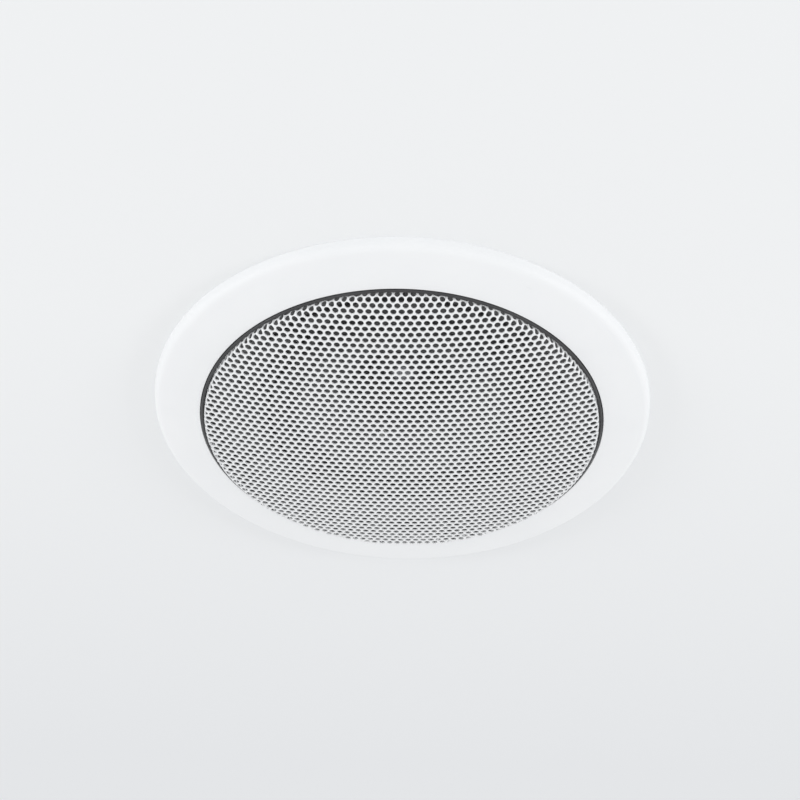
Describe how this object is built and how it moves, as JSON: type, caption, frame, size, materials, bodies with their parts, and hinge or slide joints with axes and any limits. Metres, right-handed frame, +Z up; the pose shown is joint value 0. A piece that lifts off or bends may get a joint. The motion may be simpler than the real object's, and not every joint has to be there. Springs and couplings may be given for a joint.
{
  "type": "in-ceiling speaker",
  "caption": "Round in-ceiling loudspeaker: white trim ring, domed perforated grille, coaxial driver, crossover and swing-out ceiling clamps.",
  "frame": {"origin": "centre of the chassis flange's back face, which lies on the ceiling's underside", "axes": "+Z up into the ceiling void along the speaker's axis, -Z towards the room, -Y towards the spring terminal"},
  "size_m": [0.187, 0.187, 0.0936],
  "materials": {
    "white_plastic": "satin",
    "black_plastic": "fine texture",
    "zinc_steel": "zinc plated",
    "white_steel": "powder coat",
    "black_steel": "powder coat",
    "black_screws": "black phosphate",
    "rubber": "matt",
    "gasket": "matt",
    "cone": "satin",
    "former": "wound paper",
    "copper": "enamelled wire",
    "spider": "resin-stiffened weave",
    "plated_steel": "zinc plated",
    "ferrite": "matt, ground",
    "phenolic": "pressed fibre",
    "tinned_brass": "tinned",
    "nickel": "nickel plated",
    "film": "satin film",
    "board": "solder mask",
    "bobbin": "moulded",
    "capacitor": "sleeve",
    "resistor": "cement",
    "film_capacitor": "epoxy",
    "red_plastic": "moulded",
    "lever_black": "moulded",
    "dog_plastic": "glass-filled nylon"
  },
  "bodies": {
    "frame": {"bezel": "white_plastic", "chassis": "black_plastic", "bezel_screws": "zinc_steel", "grille": "white_steel", "woofer_basket": "black_steel", "woofer_screws": "black_screws", "surround": "rubber", "woofer_gasket": "gasket", "spider": "spider", "top_plate": "plated_steel", "magnet": "ferrite", "back_plate": "plated_steel", "tag_strip": "phenolic", "solder_tags": "tinned_brass", "tweeter_post": "plated_steel", "tweeter_nut": "zinc_steel", "tweeter_cup": "black_steel", "tweeter_magnet": "nickel", "tweeter_pole_tip": "plated_steel", "tweeter_diaphragm": "film", "tweeter_faceplate": "black_plastic", "crossover_tray": "black_plastic", "tray_screws": "zinc_steel", "crossover_board": "board", "board_screws": "zinc_steel", "inductor_bobbin": "bobbin", "inductor_winding": "copper", "capacitor": "capacitor", "resistor": "resistor", "film_capacitor": "film_capacitor", "terminal_housing": "black_plastic", "terminal_screws": "zinc_steel"},
    "cone_assembly": {"cone": "cone", "coil_former": "former", "voice_coil": "copper", "cone_eyelets": "tinned_brass"},
    "red_lever": {"red_lever": "red_plastic"},
    "black_lever": {"black_lever": "lever_black"},
    "clamp_screw_1": {"clamp_screw_1": "black_screws"},
    "clamp_screw_2": {"clamp_screw_2": "black_screws"},
    "clamp_screw_3": {"clamp_screw_3": "black_screws"},
    "clamp_dog_1": {"clamp_dog_1": "dog_plastic"},
    "clamp_dog_2": {"clamp_dog_2": "dog_plastic"},
    "clamp_dog_3": {"clamp_dog_3": "dog_plastic"}
  },
  "joints": [
    {"name": "cone_travel", "type": "slide", "parent": "frame", "child": "cone_assembly", "axis": [0, 0, -1], "range_m": [-0.004, 0.004], "stiffness_N_per_m": 1000, "deforming": ["surround", "spider"]},
    {"name": "red_lever_press", "type": "hinge", "parent": "frame", "child": "red_lever", "pos_m": [-0.008, -0.0315, 0.0597], "axis": [1, 0, 0], "range_deg": [0, 20], "stiffness_Nm_per_rad": 0.05},
    {"name": "black_lever_press", "type": "hinge", "parent": "frame", "child": "black_lever", "pos_m": [0.008, -0.0315, 0.0597], "axis": [1, 0, 0], "range_deg": [0, 20], "stiffness_Nm_per_rad": 0.05},
    {"name": "clamp_1_swing", "type": "hinge", "parent": "frame", "child": "clamp_screw_1", "pos_m": [0.05846, 0.03375, 0], "axis": [0, 0, 1], "range_deg": [0, 90]},
    {"name": "clamp_1_travel", "type": "slide", "parent": "clamp_screw_1", "child": "clamp_dog_1", "axis": [0, 0, -1], "range_m": [0, 0.022]},
    {"name": "clamp_2_swing", "type": "hinge", "parent": "frame", "child": "clamp_screw_2", "pos_m": [-0.05846, 0.03375, 0], "axis": [0, 0, 1], "range_deg": [0, 90]},
    {"name": "clamp_2_travel", "type": "slide", "parent": "clamp_screw_2", "child": "clamp_dog_2", "axis": [0, 0, -1], "range_m": [0, 0.022]},
    {"name": "clamp_3_swing", "type": "hinge", "parent": "frame", "child": "clamp_screw_3", "pos_m": [0, -0.0675, 0], "axis": [0, 0, 1], "range_deg": [0, 90]},
    {"name": "clamp_3_travel", "type": "slide", "parent": "clamp_screw_3", "child": "clamp_dog_3", "axis": [0, 0, -1], "range_m": [0, 0.022]}
  ]
}
